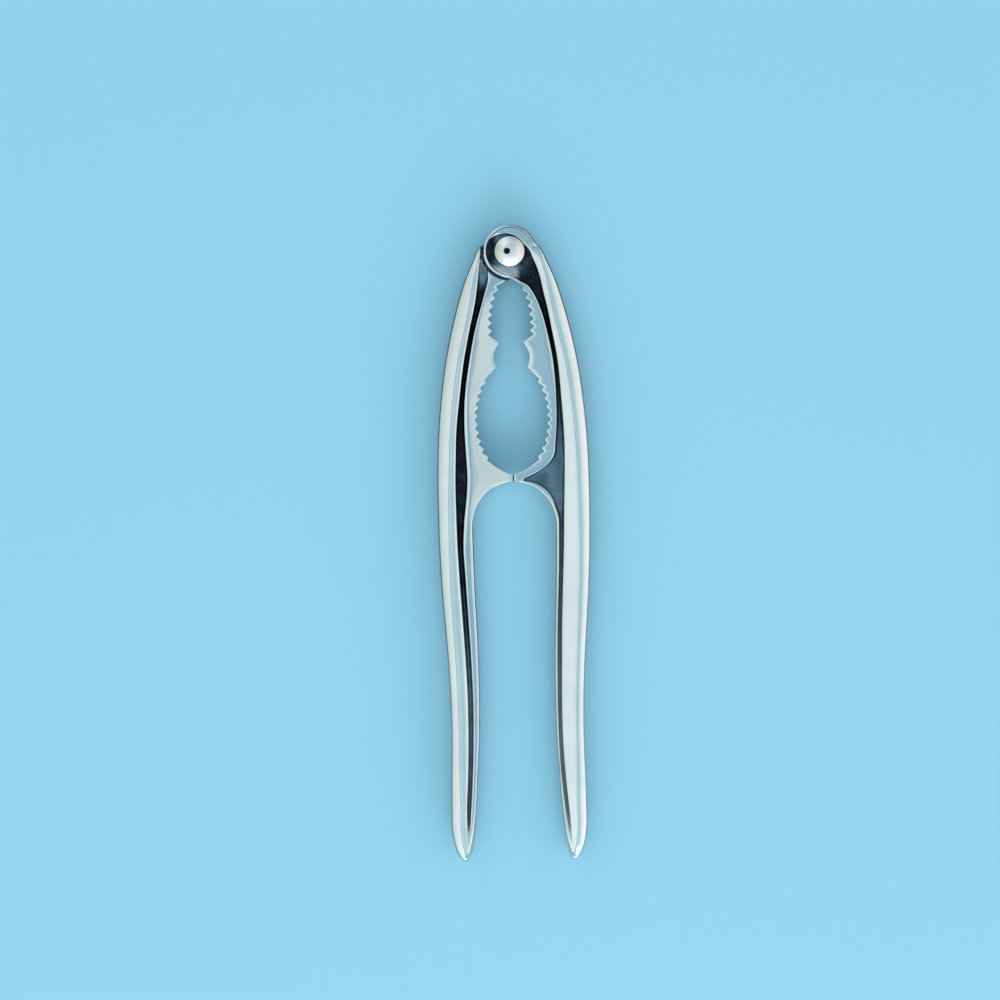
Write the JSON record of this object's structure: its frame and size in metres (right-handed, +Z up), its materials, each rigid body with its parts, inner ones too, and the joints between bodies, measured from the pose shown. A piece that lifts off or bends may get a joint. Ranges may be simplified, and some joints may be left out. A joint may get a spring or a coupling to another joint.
{
  "type": "nutcracker",
  "caption": "Pliers-type metal nutcracker: two long curved levers lapped on a domed rivet, with a small and a large toothed nut pocket between the jaws.",
  "frame": {"origin": "centre of the closed tool's box, on the plane that the tool lies on", "axes": "+Y along the tool from the handle ends to the hub, +X towards the right lever, +Z up out of the levers' plane, along the rivet"},
  "size_m": [0.0412, 0.1718, 0.013],
  "materials": {
    "left_lever": "polished nickel-chrome plate over a zinc die casting",
    "right_lever": "polished nickel-chrome plate over a zinc die casting",
    "rivet": "turned and tumbled steel, softly bright"
  },
  "bodies": {
    "left_lever": {"left_lever": "left_lever", "pivot_rivet": "rivet"},
    "right_lever": {"right_lever": "right_lever"}
  },
  "joints": [
    {"name": "lever_hinge", "type": "hinge", "parent": "left_lever", "child": "right_lever", "pos_m": [0, 0.07882, 0.0065], "axis": [0, 0, 1], "range_deg": [0, 150]}
  ]
}
